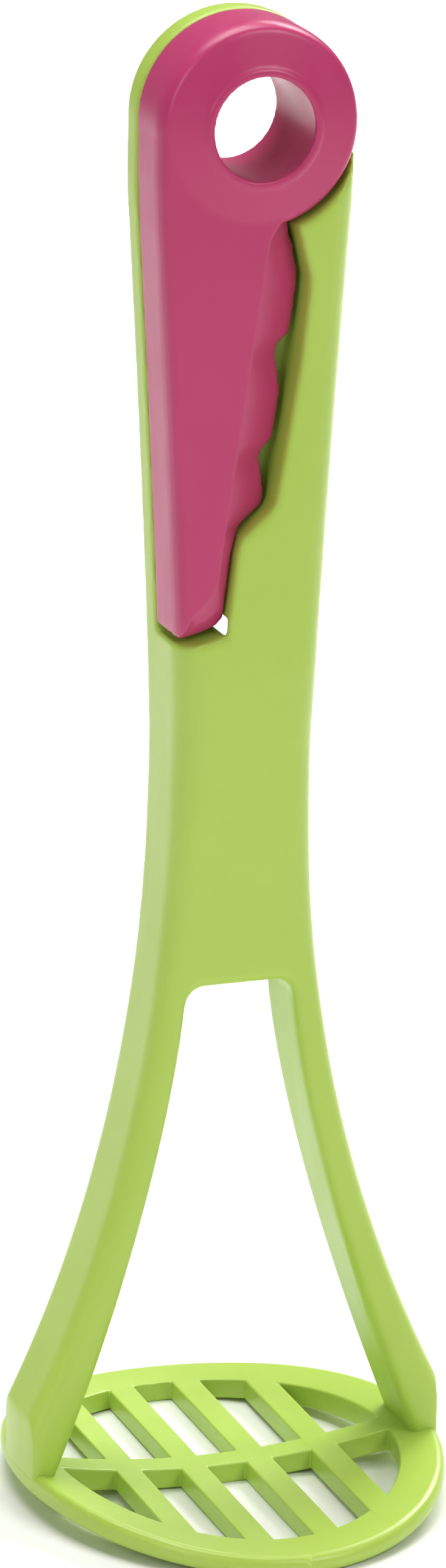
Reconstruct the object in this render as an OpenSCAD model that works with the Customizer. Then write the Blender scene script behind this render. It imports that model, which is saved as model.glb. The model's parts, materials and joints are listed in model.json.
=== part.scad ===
// Potato masher with a cutter folded into its handle.
// The origin is on the table under the middle of the head: +X to the right, +Y to the back, +Z up.
// Millimetres. The masher is one moulding, split here into the regions that its openings divide.

/* [Handle] */
// Height of the pivot and hanging hole above the table
ring_z = 247; // [225:1:300]
// Radius of the rounded top of the handle
ring_r = 18; // [16.5:0.5:22]
// Width of the handle at its waist
waist_w = 25.2; // [22:0.2:32]
// Height of the waist
waist_z = 138; // [125:1:150]
// Height of the crotch between the legs
fork_z = 94.5; // [80:0.5:110]
// Distance of the handle's front face from the middle plane
handle_front = 9; // [8:0.25:11]
// Distance of the handle's back face from the middle plane, at the top
handle_back = 10; // [9.5:0.25:12]
// Distance of the front face from the middle plane at the crotch
fork_front = 6; // [5.5:0.25:9]
// Radius of the handle's front edges
handle_edge_r = 6; // [3:0.5:7.5]
// Radius of the handle's back edges
back_edge_r = 2.5; // [1:0.25:4]

/* [Legs] */
// Half depth of a leg at its foot
foot_half_d = 8; // [6:0.5:9]
// Width between the legs at the crotch
gap_top_w = 19.4; // [16:0.2:20.4]
// Width of a leg where it meets the head
leg_w = 6.5; // [4:0.25:9]
// Radius of the legs' long edges
leg_edge_r = 2.4; // [1:0.2:2.4]
// Radius of the corners of the crotch
crotch_r = 3.5; // [2:0.5:6]

/* [Head] */
// Width of the head, from leg to leg
head_w = 77; // [68:1:96]
// Length of the head, from front to back
head_l = 93; // [80:1:115]
// Thickness of the head at its middle
head_t = 3.6; // [2.6:0.1:6]
// Radius of the rocker curve underneath
under_r = 192; // [170:1:300]
// Radius of the curve on top
top_r = 151; // [130:1:165]
// Width of one slot
slot_w = 7.5; // [5:0.1:8.5]
// Distance from slot to slot
slot_pitch = 12.3; // [12:0.1:13]
// Width of the rib that divides the slots
rib_w = 5.6; // [3:0.1:9]
// Width of the rim at its sides
rim_side = 7.75; // [6:0.25:9]
// Width of the rim at the front and back
rim_end = 9.2; // [5:0.2:14]

/* [Cutter] */
// Radius of the hanging hole through the pivot
hole_r = 9; // [7:0.25:9.5]
// Radius of the boss that turns in the handle
boss_r = 12; // [11:0.25:13]
// Width of the snap lip at the boss's back end
lip_w = 1; // [0.4:0.1:1.4]
// Thickness of the snap lip
lip_t = 1.2; // [0.8:0.1:2]
// Distance of the blade's front face from the middle plane
blade_front = 8.3; // [8:0.1:9]
// Distance of the blade's back face from the middle plane
blade_back = 4.2; // [3:0.1:5]
// Height of the crown round the hole above the blade's face
crown_h = 1.7; // [0.6:0.1:2]
// Length from the pivot to the tip of the blade
blade_len = 88.7; // [80:0.1:92]
// Width of the flat that the shoulders leave round the blade's faces
shoulder = 1.5; // [0.5:0.1:2]

/* [Fits] */
// Radial clearance of the boss in its hole
turn_fit = 0.05; // [0.02:0.01:0.1]
// Clearance behind the blade, and round the snap lip
seat_gap = 0.15; // [0.1:0.05:0.4]
// Clearance between the cutter's ring and the pocket
ring_gap = 0.5; // [0.3:0.1:1]
// Radius of the push-out hole behind the tip
push_r = 6.2; // [4:0.2:6.4]
// How far the push-out hole's centre is above the tip
push_rise = 1.2; // [0.5:0.1:2]

/* [Hidden] */
$fn = 96;
far = 400;
green = [0.69, 0.80, 0.345];
magenta = [0.76, 0.286, 0.463];

// Where the legs' curves are measured: a level just above the head
foot_z = 15.5;
foot_out = 0.8;
foot_half = head_w / 2 + foot_out;
flare_power = 2.32;
swell_power = 1.235;
gap_power = 1.46;
rise_h = 60;
straight_h = 12;
// How much wider the legs' sections are there than where they meet the head's edge
foot_spare = 2.6;
split_z = fork_z - crotch_r;
gap_foot_half = foot_half - leg_w - foot_spare;
field_a = head_w / 2 - rim_side;
field_b = head_l / 2 - rim_end;
pocket_floor = blade_back + seat_gap;
lip_r = boss_r + lip_w;
// The skin left in front of the push-out hole, and the hole's place across the handle
skin_t = 1;
push_x = 1.5;

function clamp01(t) = min(1, max(0, t));
function mix(a, b, t) = a + (b - a) * t;
function eased(t) = let (c = clamp01(t)) c * c * (3 - 2 * c);

// Half width of the handle and legs at height z
function half_w(z) = z < waist_z
    ? waist_w / 2 + (foot_half - waist_w / 2) * pow((waist_z - z) / (waist_z - foot_z), flare_power)
    : mix(waist_w / 2, ring_r, pow(clamp01((z - waist_z) / (ring_z - straight_h - waist_z)), swell_power));

// Half width of the gap between the legs at height z
function gap_half(z) =
    mix(gap_top_w / 2, gap_foot_half, pow(max(0, fork_z - z) / (fork_z - foot_z), gap_power));

// Front and back faces, and the radius of the long edges, at height z
function front_y(z) = z < fork_z
    ? -mix(foot_half_d, fork_front, eased((z - foot_z) / (fork_z - foot_z)))
    : -mix(fork_front, handle_front, eased((z - fork_z) / rise_h));
function back_y(z) = mix(foot_half_d, handle_back, eased((z - foot_z) / (fork_z - foot_z)));
function edge_r(z) = mix(leg_edge_r, handle_edge_r, clamp01((z - split_z) / (waist_z - split_z)));
function rear_edge_r(z) = mix(leg_edge_r, back_edge_r, clamp01((z - split_z) / (waist_z - split_z)));

// Corners of a rounded rectangle from (x0, y0) to (x1, y1) at height z
corner_steps = 4;
function corner(cx, cy, r, start, z) =
    [for (i = [0:corner_steps]) let (a = start + 90 * i / corner_steps) [cx + r * cos(a), cy + r * sin(a), z]];
function section(x0, x1, y0, y1, r, rear_r, z) = concat(
    corner(x1 - rear_r, y1 - rear_r, rear_r, 0, z),
    corner(x0 + rear_r, y1 - rear_r, rear_r, 90, z),
    corner(x0 + r, y0 + r, r, 180, z),
    corner(x1 - r, y0 + r, r, 270, z));

// A closed skin over a stack of sections that have the same number of points
module loft(sections) {
    n = len(sections[0]);
    m = len(sections);
    sides = [for (k = [0:m - 2], i = [0:n - 1]) let (j = (i + 1) % n)
        each [[k * n + i, (k + 1) * n + i, (k + 1) * n + j], [k * n + i, (k + 1) * n + j, k * n + j]]];
    bottom = [[for (i = [0:n - 1]) i]];
    top = [[for (i = [n - 1:-1:0]) (m - 1) * n + i]];
    polyhedron([for (s = sections) each s], concat(bottom, sides, top));
}

// Something drawn in the X-Z plane, and carried from y0 to y1
module across(y0, y1) {
    translate([0, y1, 0]) rotate([90, 0, 0]) linear_extrude(y1 - y0) children();
}

// A cylinder along Y, centred on x and z; a broad one takes more sides
module rod(r, y0, y1, x = 0, z = 0) {
    translate([x, y1, z]) rotate([90, 0, 0]) cylinder(r = r, h = y1 - y0, $fn = r > 50 ? 1440 : $fn);
}

// ---- The cutter's outline, measured from the pivot ----

// The pocket's right wall, from the corner under the ring down to the tip
pocket_corner_x = 6.8;
pocket_wall = [[9.1, -26.2], [8.9, -29.9], [7.6, -41.5], [4.9, -58.3], [3.6, -65.4], [2.6, -67],
    [-1.2, -70.3], [-2.4, -71.4], [-3.1, -73.5]];

// The pocket's bottom wall under the tip, measured down from the tip
bottom_wall = [[-4.8, 0.9], [-4.9, 0.3], [-8.5, -0.7], [-11.2, -1.2]];
pocket_tip = [for (p = bottom_wall) [p[0], p[1] - blade_len]];

// A ledge runs inside both walls, under the thin part of the blade: its inner boundary
ledge_y = -0.6;
ledge_top = [[7.4, -27], [5.6, -33], [3.6, -38], [2.9, -46.5], [1.7, -54.8], [0.3, -64.3], [0, -66.7],
    [-2.6, -70.4], [-4.05, -73.2]];
ledge_tip = [[-5, 6.1], [-6.2, 3.7], [-8.2, 2.4], [-10, 1.4], [-11, 0.1]];
ledge_line = concat(ledge_top, [for (p = ledge_tip) [p[0], p[1] - blade_len]]);

// The cutting edge, from the ring to the step above the tip: crests and roots of the teeth
edge_y = -4.3;
edge_top = [[7, -ring_r - 1], [8.1, -25.6], [7.9, -29.8], [6.9, -36.6], [4.6, -39.7], [5.3, -46.4], [4.3, -54.6],
    [1.9, -57.9], [2.7, -64.1], [2.4, -66.2], [-1.6, -70], [-3.4, -73]];
edge_tip = [[-4.8, 3], [-5.9, 1.8], [-8.1, 0.9], [-10.4, 0.3], [-12.5, 0]];
flat_tip = [[-6.6, 10.1], [-7.6, 8.1], [-9, 6.3], [-10.2, 5], [-11.2, 3.9]];
spine_steps = 7;
spine_end = -blade_len + 0.3;
side_inset = 0.15;

// Where the front flat's right boundary runs, v below the pivot: a slight curve
function flat_x(v) = mix(2.6, -6.4, pow(clamp01(-(v + 14) / 63), 0.93));

// The inner end of the blade follows the ring, whose wall its chords just clear
root_steps = 8;
root_over = 0.12;
root_x = 6.8;
root_r = ring_r + root_over;
root_end = 270 + asin(root_x / root_r);
function root_start(inset) = 180 + acos((ring_r - side_inset - inset) / root_r);
function root(inset) = [for (i = [1:root_steps])
    let (a = mix(root_start(inset), root_end, i / root_steps)) [root_r * cos(a), root_r * sin(a)]];

// The blade's left side lies flush with the handle's, from the tip up to the ring
function spine(inset) = [for (i = [0:spine_steps])
    let (v = mix(spine_end + inset, root_r * sin(root_start(inset)), i / spine_steps))
        [-half_w(ring_z + v) + side_inset + inset, v]];

function edge_outline() = concat(edge_top, [for (p = edge_tip) [p[0], p[1] - blade_len]], spine(0), root(0));
function flat_outline() = concat([for (p = edge_top) [flat_x(p[1]), p[1]]],
    [for (p = flat_tip) [p[0], p[1] - blade_len]], spine(shoulder), root(shoulder));

function level(points, y) = [for (p = points) [p[0], y, ring_z + p[1]]];
function blended(a, b, t) = [for (i = [0:len(a) - 1]) mix(a[i], b[i], t)];

module pocket_outline(wall) {
    r = ring_r + ring_gap;
    edge = acos(pocket_corner_x / r);
    arc = [for (i = [0:12]) let (a = mix(0, -edge, i / 12)) [r * cos(a), r * sin(a)]];
    floor_tip = pocket_tip[len(pocket_tip) - 1];
    polygon(concat([[-far, far], [far, far], [far, 0]], arc, wall, [floor_tip, [-far, floor_tip[1]]]));
}

module pocket() {
    translate([0, 0, ring_z]) {
        across(-far, ledge_y) pocket_outline(concat(pocket_wall, [for (i = [0:2]) pocket_tip[i]]));
        across(-far, pocket_floor) pocket_outline(ledge_line);
    }
}

module crotch() {
    half = gap_half(split_z);
    across(-far, far) union() {
        translate([-half, -far]) square([half * 2, far + split_z]);
        translate([-half + crotch_r, 0]) square([(half - crotch_r) * 2, fork_z]);
        for (side = [-1, 1]) translate([side * (half - crotch_r), split_z]) circle(crotch_r);
    }
}

handle_steps = 26;
module handle_body() {
    back_corner = corner(ring_r - back_edge_r, handle_back - back_edge_r, back_edge_r, 0, 0);
    loft([for (i = [0:handle_steps]) let (z = mix(split_z, ring_z, i / handle_steps))
        section(-half_w(z), half_w(z), front_y(z), back_y(z), edge_r(z), rear_edge_r(z), z)]);
    intersection() {
        translate([0, 0, ring_z]) rotate([90, 0, 0]) rotate_extrude() polygon(concat(
            [[0, -handle_back], [0, handle_front], [ring_r, handle_front]],
            [for (p = back_corner) [p[0], -p[1]]]));
        translate([-far, -far, ring_z]) cube([far * 2, far * 2, far]);
    }
}

module handle() {
    color(green) difference() {
        handle_body();
        crotch();
        pocket();
        rod(boss_r + turn_fit, 0, far, 0, ring_z);
        rod(lip_r + seat_gap, handle_back - lip_t - seat_gap, far, 0, ring_z);
        rod(push_r, -handle_front + skin_t, far, push_x, ring_z - blade_len + push_rise);
    }
}

// ---- Head ----

module oval(a, b) {
    polygon([for (i = [0:71]) [a * cos(i * 5), b * sin(i * 5)]]);
}

module head_solid() {
    difference() {
        rod(under_r, -far, far, 0, under_r);
        rod(top_r, -far, far, 0, head_t + top_r);
    }
}

// The bars stand between the columns of slots
bars = 4;
module bar_strips() {
    bar_w = slot_pitch - slot_w;
    for (i = [0:bars - 1])
        translate([(i - (bars - 1) / 2) * slot_pitch - bar_w / 2, -far]) square([bar_w, far * 2]);
}

module field() {
    oval(field_a, field_b);
}

module rib_strip() {
    translate([-far, -rib_w / 2]) square([far * 2, rib_w]);
}

// The two curves meet again far above the head, so the head is taken from below this height
plate_room = 40;
module plate() {
    intersection() {
        head_solid();
        linear_extrude(plate_room) children();
    }
}

module head_rim() {
    color(green) plate() difference() {
        oval(head_w / 2, head_l / 2);
        field();
    }
}

module head_rib() {
    color(green) plate() intersection() {
        field();
        rib_strip();
    }
}

module head_bars() {
    color(green) plate() difference() {
        intersection() {
            field();
            bar_strips();
        }
        rib_strip();
    }
}

// ---- Legs ----

leg_steps = 18;
leg_low = 2;
module leg(side) {
    color(green) intersection() {
        loft([for (i = [0:leg_steps]) let (z = mix(leg_low, split_z, i / leg_steps))
            let (inner = gap_half(z), outer = half_w(z))
            section(side < 0 ? -outer : inner, side < 0 ? -inner : outer,
                front_y(z), back_y(z), leg_edge_r, leg_edge_r, z)]);
        linear_extrude(far) oval(head_w / 2, head_l / 2);
        rod(top_r, -far, far, 0, head_t + top_r);
    }
}

module left_leg() {
    leg(-1);
}

module right_leg() {
    leg(1);
}

// ---- Cutter ----

crown_in = hole_r + 1.2;
crown_out = ring_r - 1.6;
rim_bevel = 3;
rim_lean = 0.6;
lip_bevel = 0.4;
bevel_share = 0.25;

// The ring, its boss through the handle and its snap lip, turned about the pivot's axis
module cutter_ring() {
    color(magenta) difference() {
        translate([0, 0, ring_z]) rotate([90, 0, 0]) rotate_extrude() polygon([
            [0, -handle_back],
            [lip_r - lip_bevel, -handle_back],
            [lip_r, -handle_back + lip_bevel],
            [lip_r, -handle_back + lip_t],
            [boss_r, -handle_back + lip_t],
            [boss_r, -blade_back],
            [ring_r, -blade_back],
            [ring_r, blade_front - rim_bevel * 1.5],
            [ring_r - rim_lean, blade_front - rim_bevel / 2],
            [crown_out, blade_front],
            [crown_in, blade_front + crown_h],
            [0, blade_front + crown_h]]);
        rod(hole_r, -far, far, 0, ring_z);
    }
}

// The blade is lofted a little too thick, then trimmed to its two flat faces
trim = 1;
module cutter_blade() {
    shoulders = blended(flat_outline(), edge_outline(), bevel_share);
    color(magenta) intersection() {
        loft([
            level(flat_outline(), -blade_front - trim),
            level(flat_outline(), -blade_front),
            level(shoulders, -blade_front + shoulder),
            level(edge_outline(), edge_y),
            level(shoulders, blade_back - shoulder),
            level(flat_outline(), blade_back),
            level(flat_outline(), blade_back + trim)]);
        across(-blade_front, blade_back) translate([0, ring_z]) square(far, center = true);
    }
}

handle();
left_leg();
right_leg();
head_rim();
head_rib();
head_bars();
cutter_ring();
cutter_blade();
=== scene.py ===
"""A potato masher moulded in green plastic, with a serrated cutter folded into its handle.

The masher is one moulding: handle, two legs and a slotted oval head. The cutter is a second
moulding, whose hollow boss turns in the handle. Sizes are millimetres until a piece is finished.
"""

import json
import math

import bmesh
import bpy
from bpy.props import FloatProperty, FloatVectorProperty, IntProperty, PointerProperty, StringProperty
from mathutils import Matrix, Vector


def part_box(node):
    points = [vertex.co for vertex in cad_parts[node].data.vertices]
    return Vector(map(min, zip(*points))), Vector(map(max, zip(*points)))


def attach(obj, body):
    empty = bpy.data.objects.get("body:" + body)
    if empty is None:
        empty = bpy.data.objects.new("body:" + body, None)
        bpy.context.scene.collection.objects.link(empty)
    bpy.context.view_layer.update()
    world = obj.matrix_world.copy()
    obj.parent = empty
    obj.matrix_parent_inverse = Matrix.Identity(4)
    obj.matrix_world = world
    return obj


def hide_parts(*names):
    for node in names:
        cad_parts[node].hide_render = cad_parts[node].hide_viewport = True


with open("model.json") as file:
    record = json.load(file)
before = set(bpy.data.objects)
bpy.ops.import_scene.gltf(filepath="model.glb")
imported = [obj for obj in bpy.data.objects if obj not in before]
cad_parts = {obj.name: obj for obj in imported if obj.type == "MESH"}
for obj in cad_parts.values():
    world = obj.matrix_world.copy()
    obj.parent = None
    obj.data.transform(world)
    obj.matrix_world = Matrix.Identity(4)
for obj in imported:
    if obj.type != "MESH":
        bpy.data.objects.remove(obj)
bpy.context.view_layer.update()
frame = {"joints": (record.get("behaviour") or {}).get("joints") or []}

bl_info = {
    "name": "Potato masher with a folding cutter",
    "version": (1, 0, 0),
    "blender": (4, 5, 0),
    "location": "3D View > Sidebar > Masher",
    "description": "Builds a moulded potato masher and the cutter that folds into its handle",
    "category": "Add Mesh",
}

MM = 0.001
PIVOT_Z = frame["joints"][0]["pos_m"][2] / MM


def cad_box(node):
    """Lowest and highest corners of a CAD node, in millimetres."""
    low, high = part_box(node)
    return low / MM, high / MM


RIM_HIGH = cad_box("head_rim")[1]
RING_LOW, RING_HIGH = cad_box("cutter_ring")
HANDLE_LOW, HANDLE_HIGH = cad_box("handle")
BLADE_LOW, BLADE_HIGH = cad_box("cutter_blade")


class MasherSizes(bpy.types.PropertyGroup):
    """Sizes of the masher moulding, in millimetres"""

    waist_half: FloatProperty(
        name="Waist half width", description="Half the handle's narrowest width", default=12.6
    )
    waist_z: FloatProperty(
        name="Waist height", description="Height of the narrowest place", default=138.0
    )
    fork_z: FloatProperty(
        name="Crotch height", description="Height of the crotch between the legs", default=94.5
    )
    foot_z: FloatProperty(
        name="Foot height", description="Height where the legs' curves end", default=15.5
    )
    foot_out: FloatProperty(
        name="Foot overhang", description="How far the legs' curve passes the head", default=0.8
    )
    foot_depth: FloatProperty(
        name="Foot half depth", description="Half the depth of a leg at its foot", default=8.0
    )
    gap_top: FloatProperty(
        name="Gap half width, top", description="Half the gap under the crotch", default=9.7
    )
    fork_front: FloatProperty(
        name="Crotch front", description="Depth of the front face at the crotch", default=6.0
    )
    gap_foot: FloatProperty(
        name="Gap half width, foot", description="Half the gap at the feet", default=30.2
    )
    crotch_r: FloatProperty(
        name="Crotch radius", description="Radius of the crotch's corners", default=3.5
    )
    handle_edge: FloatProperty(
        name="Handle edge radius", description="Radius of the handle's front edges", default=5.6
    )
    leg_edge: FloatProperty(
        name="Leg edge radius", description="Radius of the legs' inner edges", default=2.0
    )
    leg_outer: FloatProperty(
        name="Leg outer radius", description="Radius of the legs' outer edges", default=3.4
    )
    gap_round: FloatProperty(
        name="Gap edge", description="Width of the crotch's rounded edge", default=1.2
    )
    head_thick: FloatProperty(
        name="Head thickness", description="Thickness of the head's middle", default=3.6
    )
    slot_width: FloatProperty(name="Slot width", description="Width of one slot", default=7.3)
    slot_pitch: FloatProperty(name="Slot pitch", description="Distance from slot to slot", default=12.3)
    rib_width: FloatProperty(
        name="Rib width", description="Width of the rib that divides the slots", default=5.6
    )
    rim_side: FloatProperty(
        name="Side rim width", description="Width of the rim beside the feet", default=7.75
    )
    rim_end: FloatProperty(
        name="End rim width", description="Width of the rim at front and back", default=9.2
    )
    push_r: FloatProperty(
        name="Push-out hole radius", description="Hole behind the cutter's tip", default=6.2
    )
    rim_round: FloatProperty(
        name="Rim radius", description="Radius of the head's outer edges", default=1.6
    )
    slot_round: FloatProperty(
        name="Slot edge radius", description="Radius of the slots' edges", default=0.35
    )
    pocket_round: FloatProperty(
        name="Pocket edge", description="Width of the pocket's rounded edge", default=0.6
    )
    back_edge: FloatProperty(
        name="Back edge radius", description="Radius of the handle's back edges", default=1.3
    )
    grain: FloatProperty(
        name="Mesh fineness", description="Edge length of the finished mesh", default=0.55
    )
    soften: IntProperty(
        name="Edge softening", description="Smoothing passes that round the edges", default=4
    )


class CutterSizes(bpy.types.PropertyGroup):
    """Sizes of the cutter moulding, in millimetres"""

    hole_r: FloatProperty(name="Hanging hole radius", description="Radius of the hole", default=9.0)
    boss_r: FloatProperty(name="Boss radius", description="Radius of the boss that turns", default=12.0)
    lip_thick: FloatProperty(
        name="Snap lip thickness", description="Thickness of the snap lip", default=1.2
    )
    shoulder: FloatProperty(
        name="Shoulder", description="Width of the rounding beside the flats", default=1.5
    )
    shoulder_deep: FloatProperty(
        name="Shoulder depth", description="Depth of that rounding", default=3.8
    )
    tip_steep: FloatProperty(
        name="Tip steepness", description="How much steeper the tip's bevel is", default=2.2
    )
    back_round: FloatProperty(
        name="Back bevel", description="Bevel of the blade's back edges", default=0.5
    )
    crown_in: FloatProperty(
        name="Lip radius", description="Radius of the lip round the hanging hole", default=10.1
    )
    lip_high: FloatProperty(
        name="Lip height", description="Height of that lip above the crown", default=0.45
    )
    crease_r: FloatProperty(
        name="Crease radius", description="Radius of the crease round the crown", default=16.3
    )
    grain: FloatProperty(
        name="Mesh fineness", description="Edge length of the finished mesh", default=0.33
    )
    soften: IntProperty(
        name="Edge softening", description="Smoothing passes that round the edges", default=3
    )


class MasherColours(bpy.types.PropertyGroup):
    """Colours of the plastics and of the floor, as sRGB hex values"""

    green: StringProperty(
        name="Masher green", description="Colour of the masher's plastic", default="B2CF58"
    )
    green_deep: StringProperty(
        name="Deep green", description="Colour of its flow clouds", default="ADCB52"
    )
    magenta: StringProperty(
        name="Cutter magenta", description="Colour of the cutter's plastic", default="BF3A6E"
    )
    magenta_deep: StringProperty(
        name="Deep magenta", description="Colour of its flow clouds", default="BA3668"
    )
    floor: StringProperty(name="Floor", description="Colour of the floor", default="F4F4F2")
    key_tint: FloatVectorProperty(
        name="Key light tint",
        description="Tint of the main light",
        subtype="COLOR",
        default=(1.0, 0.99, 0.97),
    )


# ---------------------------------------------------------------- shapes


def mix(a, b, t):
    return a + (b - a) * t


def clamp(t):
    return max(0.0, min(1.0, t))


def eased(t):
    """From 0 to 1, level at both ends."""
    share = clamp(t)
    return share * share * (3 - 2 * share)


FLARE_POWER = 2.32
SWELL_POWER = 1.235
GAP_POWER = 1.46
RISE = 60.0
LEDGE_Y = -0.6
STRAIGHT_TOP = 12.0


def half_width(z):
    """Half the outer width of the legs and handle at height z."""
    s = bpy.context.scene.masher_sizes
    if z < s.waist_z:
        foot_half = RIM_HIGH.x + s.foot_out
        share = (s.waist_z - z) / (s.waist_z - s.foot_z)
        return s.waist_half + (foot_half - s.waist_half) * share**FLARE_POWER
    share = clamp((z - s.waist_z) / (PIVOT_Z - STRAIGHT_TOP - s.waist_z))
    return mix(s.waist_half, HANDLE_HIGH.x, share**SWELL_POWER)


def gap_half(z):
    """Half the gap between the legs at height z."""
    s = bpy.context.scene.masher_sizes
    share = max(0.0, s.fork_z - z) / (s.fork_z - s.foot_z)
    return mix(s.gap_top, s.gap_foot, share**GAP_POWER)


def front(z):
    s = bpy.context.scene.masher_sizes
    if z < s.fork_z:
        return -mix(s.foot_depth, s.fork_front, eased((z - s.foot_z) / (s.fork_z - s.foot_z)))
    return -mix(s.fork_front, -HANDLE_LOW.y, eased((z - s.fork_z) / RISE))


def back(z):
    s = bpy.context.scene.masher_sizes
    return mix(s.foot_depth, HANDLE_HIGH.y, eased((z - s.foot_z) / (s.fork_z - s.foot_z)))


def everything(bm):
    return bm.verts[:] + bm.edges[:] + bm.faces[:]


ROUND = 0.3


def upright_bar(levels, round_steps):
    """A unit bar from -1 to 1 each way, its upright edges rounded, cut across at even levels."""
    bm = bmesh.new()
    bmesh.ops.create_cube(bm, size=2)
    upright = [e for e in bm.edges if abs(e.verts[0].co.z - e.verts[1].co.z) > 1]
    bmesh.ops.bevel(
        bm, geom=upright, offset=ROUND, affect="EDGES", segments=round_steps, profile=0.5, material=-1
    )
    for i in range(1, levels):
        bmesh.ops.bisect_plane(
            bm, geom=everything(bm), plane_co=(0, 0, 2 * i / levels - 1), plane_no=(0, 0, 1)
        )
    return bm


def spread(t, low, high, radius):
    """Where unit place t falls between low and high, when the outer ROUND share is a corner of radius."""
    side = math.copysign(1, t)
    edge = (abs(t) - (1 - ROUND)) / ROUND
    return (low + high) / 2 + side * ((high - low) / 2 - radius * (1 - edge))


def shaped_bar(z0, z1, levels, section, round_steps=6):
    """A bar. Its section(z) gives left, right, front and back, and the radii of the left front
    edge, the right front edge and both back edges."""
    bm = upright_bar(levels, round_steps)
    for v in bm.verts:
        z = mix(z0, z1, (v.co.z + 1) / 2)
        x0, x1, y0, y1, left_radius, right_radius, back_radius = section(z)
        front_radius = left_radius if v.co.x < 0 else right_radius
        radius = back_radius if v.co.y > 0 else front_radius
        v.co = (spread(v.co.x, x0, x1, radius), spread(v.co.y, y0, y1, radius), z)
    return bm


def turned(profile, x=0.0, z=0.0, steps=128):
    """A solid turned about the Y direction through (x, z). Its (radius, y) points start and end
    on the axis."""
    bm = bmesh.new()
    verts = [bm.verts.new((x + r, y, z)) for r, y in profile]
    edges = [bm.edges.new(pair) for pair in zip(verts, verts[1:])]
    bmesh.ops.spin(
        bm, geom=verts + edges, cent=(x, 0, z), axis=(0, 1, 0), angle=math.tau, steps=steps, use_merge=True
    )
    bmesh.ops.remove_doubles(bm, verts=bm.verts, dist=1e-4)
    bmesh.ops.recalc_face_normals(bm, faces=bm.faces)
    return bm


def rod(radius, y0, y1, x=0.0, z=0.0):
    return turned([(0, y0), (radius, y0), (radius, y1), (0, y1)], x, z)


def stack(levels):
    """A closed skin over outlines of (x, z) points, each given with its depth y: the first
    outline is extruded from depth to depth, and takes the shape of each outline on the way."""
    y, outline = levels[0]
    bm = bmesh.new()
    verts = [bm.verts.new((x, y, z)) for x, z in outline]
    edges = [bm.edges.new((verts[i - 1], verts[i])) for i in range(len(verts))]
    bm.faces.new(verts)
    for y, outline in levels[1:]:
        places = {tuple(v.co): place for v, place in zip(verts, outline)}
        extruded = bmesh.ops.extrude_edge_only(bm, edges=edges)["geom"]
        ring = {places[tuple(v.co)]: v for v in extruded if isinstance(v, bmesh.types.BMVert)}
        edges = [g for g in extruded if isinstance(g, bmesh.types.BMEdge)]
        verts = [ring[place] for place in outline]
        for v, (x, z) in zip(verts, outline):
            v.co = (x, y, z)
    bm.faces.new(verts)
    bmesh.ops.recalc_face_normals(bm, faces=bm.faces)
    return bm


def prism(outline, y0, y1):
    """An outline of (x, z) points carried along Y."""
    return stack([(y0, outline), (y1, outline)])


def arc(cx, cz, radius, start, end, steps):
    """Points along an arc, angles in degrees from +X towards +Z."""
    turns = [math.radians(mix(start, end, i / steps)) for i in range(steps + 1)]
    return [(cx + radius * math.cos(a), cz + radius * math.sin(a)) for a in turns]


# ---------------------------------------------------------------- meshes


def as_object(name, bm):
    mesh = bpy.data.meshes.new(name)
    bm.to_mesh(mesh)
    bm.free()
    obj = bpy.data.objects.new(name, mesh)
    bpy.context.scene.collection.objects.link(obj)
    return obj


def drop(obj):
    mesh = obj.data
    bpy.data.objects.remove(obj)
    bpy.data.meshes.remove(mesh)


def settle(obj):
    """Replaces an object's mesh with what its modifiers make of it."""
    bpy.context.view_layer.update()
    evaluated = obj.evaluated_get(bpy.context.evaluated_depsgraph_get())
    mesh = bpy.data.meshes.new_from_object(evaluated)
    old = obj.data
    obj.modifiers.clear()
    obj.data = mesh
    bpy.data.meshes.remove(old)


def carve(obj, tools, operation="DIFFERENCE"):
    """Cuts obj with each tool, a bmesh, or keeps what they share."""
    others = [as_object("tool", bm) for bm in tools]
    for other in others:
        cut = obj.modifiers.new("cut", "BOOLEAN")
        cut.operation = operation
        cut.solver = "EXACT"
        cut.object = other
    settle(obj)
    for other in others:
        drop(other)
    return obj


def moulded(name, parts, grain, passes):
    """One skin round all the parts, its edges rounded as a mould rounds them, in metres."""
    bm = bmesh.new()
    for part in parts:
        bm.from_mesh(part.data)
        drop(part)
    obj = as_object(name, bm)
    skin = obj.modifiers.new("skin", "REMESH")
    skin.mode = "VOXEL"
    skin.voxel_size = grain
    soft = obj.modifiers.new("soften", "SMOOTH")
    soft.factor = 0.5
    soft.iterations = passes
    settle(obj)
    obj.data.transform(Matrix.Scale(MM, 4))
    obj.data.shade_smooth()
    return obj


# ---------------------------------------------------------------- materials


def linear(hex_colour):
    """An sRGB hex colour as linear RGBA."""
    parts = [int(hex_colour[i : i + 2], 16) / 255 for i in (0, 2, 4)]
    return [p / 12.92 if p <= 0.04045 else ((p + 0.055) / 1.055) ** 2.4 for p in parts] + [1.0]


def add(tree, kind, settings=None, links=None):
    """Adds a node, sets its properties or sockets, and links outputs into its sockets."""
    node = tree.nodes.new(kind)
    for key, value in (settings or {}).items():
        if hasattr(node, key):
            setattr(node, key, value)
        else:
            node.inputs[key].default_value = value
    for key, source in (links or {}).items():
        tree.links.new(source, node.inputs[key])
    return node


# Noise scales per metre. Flow clouds are about 25 mm across, handling smears about 4 mm, and the
# tool's satin grain 0.8 mm, coarser than the real 0.3 mm so that it shows.
FLOW_SCALE = 40.0
SMEAR_SCALE = 260.0
GRAIN_SCALE = 1250.0
GRAIN_RELIEF = 0.00001
PLASTIC_IOR = 1.49


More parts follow.
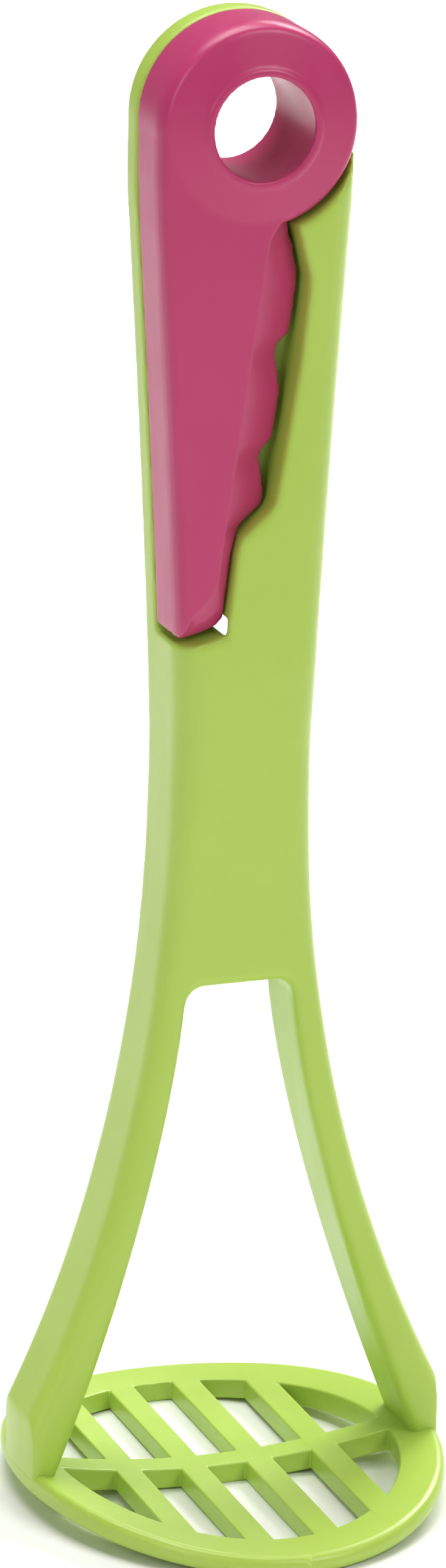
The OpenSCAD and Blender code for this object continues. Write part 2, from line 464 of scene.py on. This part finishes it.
def polypropylene(name, hex_colour, deep_hex, roughness):
    """Polypropylene, injection moulded in a satin tool: a soft sheen, slightly clouded colour,
    and light that goes a little way in, so that thin walls glow and shadows stay warm."""
    material = bpy.data.materials.new(name)
    material.use_nodes = True
    tree = material.node_tree
    tree.nodes.clear()
    place = add(tree, "ShaderNodeTexCoord").outputs["Object"]
    clouds = {"Scale": FLOW_SCALE, "Detail": 3.0, "Roughness": 0.5}
    flow = add(tree, "ShaderNodeTexNoise", clouds, {"Vector": place})
    satin = {"Scale": GRAIN_SCALE, "Detail": 2.0, "Roughness": 0.6}
    grain = add(tree, "ShaderNodeTexNoise", satin, {"Vector": place})
    stretch = add(tree, "ShaderNodeMapping", {"Scale": (1.0, 1.0, 0.25)}, {"Vector": place})
    streaks = {"Scale": SMEAR_SCALE, "Detail": 4.0}
    smear = add(tree, "ShaderNodeTexNoise", streaks, {"Vector": stretch.outputs["Vector"]})
    colour = add(tree, "ShaderNodeValToRGB", {}, {"Fac": flow.outputs["Fac"]})
    colour.color_ramp.elements[0].position = 0.3
    colour.color_ramp.elements[0].color = linear(deep_hex)
    colour.color_ramp.elements[1].position = 0.7
    colour.color_ramp.elements[1].color = linear(hex_colour)
    gloss = add(
        tree,
        "ShaderNodeMapRange",
        {"From Min": 0.3, "From Max": 0.7, "To Min": roughness - 0.04, "To Max": roughness + 0.05},
        {"Value": smear.outputs["Fac"]},
    )
    relief = {"Strength": 0.25, "Distance": GRAIN_RELIEF}
    bump = add(tree, "ShaderNodeBump", relief, {"Height": grain.outputs["Fac"]})
    shader = add(
        tree,
        "ShaderNodeBsdfPrincipled",
        {
            "IOR": PLASTIC_IOR,
            "Subsurface Weight": 0.12,
            "Subsurface Radius": (1.0, 0.8, 0.5),
            "Subsurface Scale": 0.002,
            "Specular IOR Level": 0.5,
        },
        {
            "Base Color": colour.outputs["Color"],
            "Roughness": gloss.outputs["Result"],
            "Normal": bump.outputs["Normal"],
        },
    )
    add(tree, "ShaderNodeOutputMaterial", {}, {"Surface": shader.outputs["BSDF"]})
    return material


def floor_paper(hex_colour):
    """Matt paper sweep: no gloss, with a tooth too fine to see that only breaks up the sheen."""
    material = bpy.data.materials.new("floor_paper")
    material.use_nodes = True
    tree = material.node_tree
    tree.nodes.clear()
    place = add(tree, "ShaderNodeTexCoord").outputs["Object"]
    tooth = add(tree, "ShaderNodeTexNoise", {"Scale": 900.0, "Detail": 3.0}, {"Vector": place})
    bump = add(
        tree, "ShaderNodeBump", {"Strength": 0.1, "Distance": 0.00002}, {"Height": tooth.outputs["Fac"]}
    )
    shader = add(
        tree,
        "ShaderNodeBsdfPrincipled",
        {"Base Color": linear(hex_colour), "Roughness": 0.9, "Specular IOR Level": 0.2},
        {"Normal": bump.outputs["Normal"]},
    )
    add(tree, "ShaderNodeOutputMaterial", {}, {"Surface": shader.outputs["BSDF"]})
    return material


def finish_piece(obj, body, nodes, material):
    obj.data.materials.clear()
    obj.data.materials.append(material)
    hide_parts(*nodes)
    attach(obj, body)


# ---------------------------------------------------------------- masher


BEYOND = 60.0
SEAT_GAP = 0.15
POCKET_GAP = 0.5
BORE_GAP = 0.3
HANDLE_LEVELS = 60
LEG_LEVELS = 40
LEG_OVERLAP = 0.5
LEG_TRIM = 10.0
FOOT_BURY = 6.5
PUSH_X = 1.5
PUSH_DROP = 87.5
PUSH_RISE = 1.2

# Past the handle's left side and over its top, where the pocket is open
FAR_LEFT = 40.0
FAR_UP = 40.0

# The pocket's right wall and bottom, measured from the pivot, and the ledge inside them
POCKET_WALL = [
    (9.1, -26.2),
    (8.9, -29.9),
    (7.6, -41.5),
    (4.9, -58.3),
    (3.6, -65.4),
    (2.6, -67.0),
    (-1.2, -70.3),
    (-2.4, -71.4),
    (-3.1, -73.5),
    (-4.8, -87.8),
    (-4.9, -88.4),
    (-8.5, -89.4),
    (-11.2, -89.9),
    (-FAR_LEFT, -89.9),
]
LEDGE_LINE = [
    (7.4, -27.0),
    (5.6, -33.0),
    (3.6, -38.0),
    (2.9, -46.5),
    (1.7, -54.8),
    (0.3, -64.3),
    (0.0, -66.7),
    (-2.6, -70.4),
    (-4.05, -73.2),
    (-5.0, -82.6),
    (-6.2, -85.0),
    (-8.2, -86.3),
    (-10.0, -87.3),
    (-11.0, -88.6),
    (-11.2, -89.9),
    (-FAR_LEFT, -89.9),
]
POCKET_CORNER_X = 6.8


def pocket_outline(wall):
    """The pocket seen from the front: open to the left and over the top."""
    radius = HANDLE_HIGH.x + POCKET_GAP
    corner = -math.degrees(math.acos(POCKET_CORNER_X / radius))
    bend = arc(0, 0, radius, 0, corner, 8)
    outline = [(-FAR_LEFT, FAR_UP), (FAR_LEFT, FAR_UP), (FAR_LEFT, 0)] + bend + wall
    return [(x, PIVOT_Z + z) for x, z in outline]


def grown(outline, distance):
    """A closed outline, each corner moved out by distance. The points run clockwise."""
    points = [Vector(p) for p in outline]
    moved = []
    for i, point in enumerate(points):
        before = (point - points[i - 1]).normalized()
        after = (points[(i + 1) % len(points)] - point).normalized()
        along = (before + after).normalized()
        out = Vector((-along.y, along.x))
        moved.append(tuple(point + out * distance / max(0.5, along.dot(after))))
    return moved


def pocket_tools(s):
    """The room for the cutter: shallow over the ledge, deeper inside it, with a rounded mouth."""
    mouth = pocket_outline(POCKET_WALL)
    reach = s.pocket_round
    return [
        prism(mouth, -BEYOND, LEDGE_Y),
        prism(pocket_outline(LEDGE_LINE), -BEYOND, BLADE_HIGH.y + SEAT_GAP),
        stack([(HANDLE_LOW.y + reach, mouth), (HANDLE_LOW.y - reach, grown(mouth, 2 * reach))]),
    ]


def crotch(s):
    """The round-cornered top of the gap between the legs, wider at the front and back faces."""
    low = s.fork_z - s.crotch_r
    half = gap_half(low)
    right = arc(half - s.crotch_r, low, s.crotch_r, 0, 90, 8)
    left = arc(-half + s.crotch_r, low, s.crotch_r, 90, 180, 8)
    outline = [(half, 0)] + right + left + [(-half, 0)]
    reach = s.gap_round
    wide = grown(outline, -2 * reach)
    fore, rear = front(low), back(low)
    return stack(
        [(fore - reach, wide), (fore + reach, outline), (rear - reach, outline), (rear + reach, wide)]
    )


def handle_blank(s):
    split = s.fork_z - s.crotch_r

    def section(z):
        share = clamp((z - split) / (s.waist_z - split))
        front_edge = mix(s.leg_outer, s.handle_edge, share)
        back_edge = mix(s.leg_edge, s.back_edge, share)
        half = half_width(z)
        return -half, half, front(z), back(z), front_edge, front_edge, back_edge

    return as_object("handle_blank", shaped_bar(split, PIVOT_Z, HANDLE_LEVELS, section))


FLOOR_BEVEL = 0.5


def round_top(s):
    """The rounded end of the handle, behind the cutter's ring: a disc with its back edge rounded."""
    radius, floor = HANDLE_HIGH.x, BLADE_HIGH.y + SEAT_GAP
    rim = arc(radius - s.back_edge, HANDLE_HIGH.y - s.back_edge, s.back_edge, 0, 90, 6)
    profile = [(0, floor), (radius - FLOOR_BEVEL, floor), (radius, floor + FLOOR_BEVEL)] + rim
    return as_object("round_top", turned(profile + [(0, HANDLE_HIGH.y)], 0, PIVOT_Z))


def leg_blank(s, side):
    split = s.fork_z - s.crotch_r

    def section(z):
        inner, outer = gap_half(z), half_width(z)
        if side > 0:
            return inner, outer, front(z), back(z), s.leg_edge, s.leg_outer, s.leg_edge
        return -outer, -inner, front(z), back(z), s.leg_outer, s.leg_edge, s.leg_edge

    leg = as_object("leg_blank", shaped_bar(FOOT_BURY, split + LEG_OVERLAP, LEG_LEVELS, section))
    return carve(leg, [oval_prism(RIM_HIGH.x, RIM_HIGH.y, 0, split + LEG_TRIM)], "INTERSECT")


def oval_prism(a, b, z0, z1):
    bm = bmesh.new()
    bmesh.ops.create_circle(bm, cap_ends=True, segments=144, radius=1)
    bmesh.ops.scale(bm, verts=bm.verts, vec=(a, b, 1))
    bmesh.ops.translate(bm, verts=bm.verts, vec=(0, 0, z0))
    extruded = bmesh.ops.extrude_face_region(bm, geom=bm.faces[:])
    top = [g for g in extruded["geom"] if isinstance(g, bmesh.types.BMVert)]
    bmesh.ops.translate(bm, verts=top, vec=(0, 0, z1 - z0))
    bmesh.ops.recalc_face_normals(bm, faces=bm.faces)
    return bm


COLUMNS = 5


def slot_tool(s, column, side):
    """One slot: the slotted field's oval, trimmed to a column and to one side of the rib.
    The outer columns run out to the oval itself."""
    centre = (column - (COLUMNS - 1) / 2) * s.slot_pitch
    half = s.slot_width / 2
    bm = oval_prism(RIM_HIGH.x - s.rim_side, RIM_HIGH.y - s.rim_end, -BEYOND, BEYOND)
    planes = [((0, side * s.rib_width / 2, 0), (0, -side, 0))]
    if column > 0:
        planes.append(((centre - half, 0, 0), (-1, 0, 0)))
    if column < COLUMNS - 1:
        planes.append(((centre + half, 0, 0), (1, 0, 0)))
    for point, normal in planes:
        bmesh.ops.bisect_plane(bm, geom=everything(bm), plane_co=point, plane_no=normal, clear_outer=True)
        bmesh.ops.holes_fill(bm, edges=[e for e in bm.edges if e.is_boundary])
    bmesh.ops.recalc_face_normals(bm, faces=bm.faces)
    return bm


UNDER_CURVE = 0.0026
TOP_CURVE = 0.0033
SHARP = math.radians(50)
BEND_STEP = 1.5


def round_sharp_edges(bm, radius, steps):
    edges = [e for e in bm.edges if len(e.link_faces) == 2 and e.calc_face_angle() > SHARP]
    bmesh.ops.bevel(
        bm, geom=edges, offset=radius, affect="EDGES", segments=steps, profile=0.5, material=-1
    )


def flat_head(s):
    """The head before it is curved: an oval plate with a rounded rim and ten slots."""
    bm = oval_prism(RIM_HIGH.x, RIM_HIGH.y, 0, s.head_thick)
    round_sharp_edges(bm, s.rim_round, 5)
    head = as_object("masher_head", bm)
    return carve(head, [slot_tool(s, column, side) for column in range(COLUMNS) for side in (-1, 1)])


class MASHER_OT_head(bpy.types.Operator):
    """Makes the slotted oval head, curved up towards both feet"""

    bl_idname = "masher.head"
    bl_label = "Slotted head"

    def execute(self, context):
        s = context.scene.masher_sizes
        head = flat_head(s)
        bm = bmesh.new()
        bm.from_mesh(head.data)
        bmesh.ops.dissolve_limit(bm, angle_limit=math.radians(1), verts=bm.verts, edges=bm.edges)
        round_sharp_edges(bm, s.slot_round, 3)
        steps = int(RIM_HIGH.x / BEND_STEP)
        for i in range(-steps, steps + 1):
            bmesh.ops.bisect_plane(
                bm, geom=everything(bm), plane_co=(i * BEND_STEP, 0, 0), plane_no=(1, 0, 0)
            )
        for v in bm.verts:
            low = UNDER_CURVE * v.co.x**2
            high = s.head_thick + TOP_CURVE * v.co.x**2
            v.co.z = mix(low, high, v.co.z / s.head_thick)
        bmesh.ops.triangulate(bm, faces=[f for f in bm.faces if len(f.verts) > 4])
        bmesh.ops.scale(bm, verts=bm.verts, vec=(MM, MM, MM))
        bm.to_mesh(head.data)
        bm.free()
        head.data.shade_smooth()
        head.modifiers.new("even_shading", "WEIGHTED_NORMAL").keep_sharp = False
        settle(head)
        nodes = ["head_rim", "head_rib", "head_bars"]
        finish_piece(head, "masher", nodes, green_plastic())
        return {"FINISHED"}


def green_plastic():
    """One material for both green pieces."""
    colours = bpy.context.scene.masher_colours
    made = bpy.data.materials.get("green_polypropylene")
    return made or polypropylene("green_polypropylene", colours.green, colours.green_deep, 0.34)


class MASHER_OT_handle(bpy.types.Operator):
    """Makes the handle, with the cutter's pocket, and the two legs"""

    bl_idname = "masher.handle"
    bl_label = "Handle and legs"

    def execute(self, context):
        s = context.scene.masher_sizes
        boss = context.scene.cutter_sizes
        blank = handle_blank(s)
        top = round_top(s)
        hole = boss.boss_r + BORE_GAP
        lip_back = RING_HIGH.y - boss.lip_thick - SEAT_GAP
        carve(blank, pocket_tools(s))
        for solid in (blank, top):
            bores = [
                rod(hole, 0, BEYOND, 0, PIVOT_Z),
                rod(RING_LIP_R + SEAT_GAP, lip_back, BEYOND, 0, PIVOT_Z),
            ]
            carve(solid, bores)
        push_hole = rod(s.push_r, HANDLE_LOW.y + PUSH_RISE, BEYOND, PUSH_X, PIVOT_Z - PUSH_DROP)
        carve(blank, [crotch(s), push_hole])
        parts = [blank, top, leg_blank(s, -1), leg_blank(s, 1)]
        body = moulded("masher_handle", parts, s.grain, s.soften)
        nodes = ["handle", "left_leg", "right_leg"]
        finish_piece(body, "masher", nodes, green_plastic())
        return {"FINISHED"}


# ---------------------------------------------------------------- cutter


RING_LIP_R = 13.0
LIP_BEVEL = 0.4
RING_INSET = 0.1

# The cutting edge from the ring to the step above the tip: crests and roots of the teeth
EDGE_Y = -4.3
TIP_TOP = -70.5
EDGE_TOP = [
    (6.6, -19.6),
    (7.3, -21.3),
    (7.6, -23.4),
    (8.1, -25.6),
    (8.2, -27.7),
    (7.9, -29.8),
    (7.4, -34.0),
    (6.9, -36.6),
    (6.0, -37.4),
    (4.9, -38.4),
    (4.5, -39.7),
    (4.6, -41.3),
    (5.0, -43.4),
    (5.4, -46.5),
    (5.2, -48.8),
    (4.9, -50.9),
    (4.3, -54.6),
    (3.6, -55.6),
    (2.5, -56.6),
    (1.85, -57.9),
    (2.1, -59.8),
    (2.5, -62.0),
    (2.75, -64.1),
    (2.6, -66.3),
    (1.2, -67.6),
    (-1.4, -69.9),
    (-2.9, -72.0),
    (-3.45, -74.5),
]
EDGE_TIP = [(-4.75, -85.6), (-5.9, -86.9), (-8.1, -87.8), (-10.4, -88.4), (-12.5, -88.7)]
FLAT_TIP = [(-6.6, -78.6), (-7.6, -80.6), (-9.0, -82.4), (-10.2, -83.7), (-11.2, -84.8)]
SPINE_LOW = -88.4
SPINE_HIGH = 0.0
SPINE_STEPS = 10
SIDE_INSET = 0.15
ROOT_R = 15.0
ROOT_START = 182
ROOT_END = 292
FLAT_TOP = 14.0
FLAT_LENGTH = 63.0
FLAT_POWER = 0.93
FLAT_X_TOP = 2.6
FLAT_X_LOW = -6.4
ROUND_STEPS = 5


def flat_edge(v):
    """Where the front flat's right boundary runs, v below the pivot."""
    return mix(FLAT_X_TOP, FLAT_X_LOW, clamp(-(v + FLAT_TOP) / FLAT_LENGTH) ** FLAT_POWER)


def spine(inset):
    levels = [mix(SPINE_LOW + inset, SPINE_HIGH, i / SPINE_STEPS) for i in range(SPINE_STEPS + 1)]
    return [(-half_width(PIVOT_Z + v) + SIDE_INSET + inset, v) for v in levels]


def blade_levels(s):
    """The blade's outline at each depth, from its front face to its back face. The left side is
    rounded and the right side slopes straight from each flat to the cutting edge."""
    root = arc(0, 0, ROOT_R, ROOT_START, ROOT_END, 10)
    edge = EDGE_TOP + EDGE_TIP
    flat = [(flat_edge(v), v) for _, v in EDGE_TOP] + FLAT_TIP

    def outline(share, inset):
        right = []
        for a, b in zip(flat, edge):
            out = min(1, share * s.tip_steep) if b[1] < TIP_TOP else share
            right.append((mix(a[0], b[0], out), mix(a[1], b[1], out)))
        return right + spine(inset) + root

    low, high = BLADE_LOW.y, BLADE_HIGH.y
    levels = []
    for i in range(ROUND_STEPS):
        turn = math.pi / 2 * i / (ROUND_STEPS - 1)
        depth = s.shoulder_deep * (1 - math.cos(turn))
        levels.append((low + depth, outline(depth / (EDGE_Y - low), s.shoulder * (1 - math.sin(turn)))))
    levels.append((EDGE_Y, outline(1, 0)))
    levels.append((high - s.back_round, outline(s.back_round / (high - EDGE_Y), 0)))
    levels.append((high, outline(0, s.back_round)))
    return levels


def blade_blank(s):
    levels = [(y, [(x, PIVOT_Z + z) for x, z in outline]) for y, outline in blade_levels(s)]
    return as_object("blade_blank", stack(levels))


def ring_blank(s):
    """The ring round the hanging hole, with its crown, its boss and its snap lip."""
    low, high = RING_LOW.y, RING_HIGH.y
    face = BLADE_LOW.y
    radius = HANDLE_HIGH.x - RING_INSET
    wide = radius - s.crease_r
    bend = [math.pi / 2 * i / ROUND_STEPS for i in range(ROUND_STEPS + 1)]
    side = [(s.crease_r + wide * math.sin(t), face + s.shoulder_deep * (1 - math.cos(t))) for t in bend]
    profile = (
        [(0, low), (s.crown_in, low), (s.crown_in + s.lip_high, low + s.lip_high)]
        + side
        + [(radius, BLADE_HIGH.y)]
        + [(s.boss_r, BLADE_HIGH.y), (s.boss_r, high - s.lip_thick), (RING_LIP_R, high - s.lip_thick)]
        + [(RING_LIP_R, high - LIP_BEVEL), (RING_LIP_R - LIP_BEVEL, high), (0, high)]
    )
    ring = as_object("ring_blank", turned(profile, 0, PIVOT_Z))
    return carve(ring, [rod(s.hole_r, -BEYOND, BEYOND, 0, PIVOT_Z)])


class MASHER_OT_cutter(bpy.types.Operator):
    """Makes the cutter: ring, boss and serrated blade in one moulding"""

    bl_idname = "masher.cutter"
    bl_label = "Cutter moulding"

    def execute(self, context):
        s = context.scene.cutter_sizes
        colours = context.scene.masher_colours
        cutter = moulded("cutter_moulding", [blade_blank(s), ring_blank(s)], s.grain, s.soften)
        magenta = polypropylene("magenta_polypropylene", colours.magenta, colours.magenta_deep, 0.32)
        finish_piece(cutter, "cutter", ["cutter_ring", "cutter_blade"], magenta)
        return {"FINISHED"}


# ---------------------------------------------------------------- stage


WHITE = (1.0, 1.0, 1.0)
WORLD_STRENGTH = 0.2
FLOOR_HALF = 6
WASH_SPREAD = math.radians(80)

# Name, place, aim, size and power in watts of each light
KEY = ("key", (0.7, -1.3, 1.2), (0, 0, 0.13), (0.8, 0.8), 10.5)
WASH = ("back_wash", (1.5, 1.6, 1.5), (0.9, 1.2, 0), (1.4, 1.0), 32)
FILLS = (
    ("left_fill", (-1.2, -0.9, 0.9), (0, 0, 0.16), (0.7, 1.0), 5),
    ("top_fill", (-0.1, 0.3, 1.6), (0, 0, 0.05), (1.0, 1.0), 20),
)


def area_light(name, place, aim, size, power, tint=WHITE):
    data = bpy.data.lights.new(name, "AREA")
    data.shape = "RECTANGLE"
    data.size, data.size_y = size
    data.energy = power
    data.color = tint
    light = bpy.data.objects.new(name, data)
    bpy.context.scene.collection.objects.link(light)
    light.location = place
    light.rotation_euler = (Vector(aim) - Vector(place)).to_track_quat("-Z", "Y").to_euler()
    return light


CAMERA_AZIMUTH = math.radians(20.155)
CAMERA_ELEVATION = math.radians(17.468)
CAMERA_ROLL = math.radians(1.016)
CAMERA_DISTANCE = 1.34004
CAMERA_TARGET = Vector((-0.00198, 0, 0.12951))
CAMERA_LENS = 177.96
CAMERA_FAR = 50


def view_camera():
    """A long lens from the front left, a little above the handle's middle."""
    level = math.cos(CAMERA_ELEVATION)
    ahead = Vector(
        (math.sin(CAMERA_AZIMUTH) * level, math.cos(CAMERA_AZIMUTH) * level, -math.sin(CAMERA_ELEVATION))
    )
    data = bpy.data.cameras.new("camera")
    data.lens = CAMERA_LENS
    data.clip_end = CAMERA_FAR
    camera = bpy.data.objects.new("camera", data)
    bpy.context.scene.collection.objects.link(camera)
    turn = ahead.to_track_quat("-Z", "Y").to_matrix().to_4x4()
    roll = Matrix.Rotation(CAMERA_ROLL, 4, "Z")
    camera.matrix_world = Matrix.Translation(CAMERA_TARGET - ahead * CAMERA_DISTANCE) @ turn @ roll
    return camera


class MASHER_OT_stage(bpy.types.Operator):
    """Makes the floor, the studio lights and the camera"""

    bl_idname = "masher.stage"
    bl_label = "Stage"

    def execute(self, context):
        colours = context.scene.masher_colours
        bm = bmesh.new()
        bmesh.ops.create_grid(bm, x_segments=8, y_segments=8, size=FLOOR_HALF)
        floor = as_object("floor", bm)
        floor.data.materials.append(floor_paper(colours.floor))
        area_light(*KEY, tuple(colours.key_tint))
        for fill in FILLS:
            area_light(*fill)
        wash = area_light(*WASH)
        wash.data.spread = WASH_SPREAD
        world = bpy.data.worlds.new("studio")
        world.use_nodes = True
        sky = world.node_tree.nodes["Background"]
        sky.inputs["Color"].default_value = (*WHITE, 1.0)
        sky.inputs["Strength"].default_value = WORLD_STRENGTH
        context.scene.world = world
        context.scene.camera = view_camera()
        context.scene.view_settings.view_transform = "Standard"
        return {"FINISHED"}


class MASHER_PT_panel(bpy.types.Panel):
    """Sidebar panel with the masher's sizes, colours and steps"""

    bl_idname = "MASHER_PT_panel"
    bl_label = "Masher and cutter"
    bl_space_type = "VIEW_3D"
    bl_region_type = "UI"
    bl_category = "Masher"

    def draw(self, context):
        scene = context.scene
        for title, group in (
            ("Masher", scene.masher_sizes),
            ("Cutter", scene.cutter_sizes),
            ("Colours", scene.masher_colours),
        ):
            box = self.layout.box()
            box.label(text=title)
            for name in group.__annotations__:
                box.prop(group, name)
        for step in STEPS:
            self.layout.operator(step)


STEPS = ("masher.handle", "masher.head", "masher.cutter", "masher.stage")
CLASSES = (
    MasherSizes,
    CutterSizes,
    MasherColours,
    MASHER_OT_handle,
    MASHER_OT_head,
    MASHER_OT_cutter,
    MASHER_OT_stage,
    MASHER_PT_panel,
)


def register():
    for cls in CLASSES:
        bpy.utils.register_class(cls)
    bpy.types.Scene.masher_sizes = PointerProperty(type=MasherSizes)
    bpy.types.Scene.cutter_sizes = PointerProperty(type=CutterSizes)
    bpy.types.Scene.masher_colours = PointerProperty(type=MasherColours)


def unregister():
    del bpy.types.Scene.masher_colours
    del bpy.types.Scene.cutter_sizes
    del bpy.types.Scene.masher_sizes
    for cls in reversed(CLASSES):
        bpy.utils.unregister_class(cls)


def main():
    register()
    bpy.ops.masher.handle()
    bpy.ops.masher.head()
    bpy.ops.masher.cutter()
    bpy.ops.masher.stage()


if __name__ == "__main__":
    main()
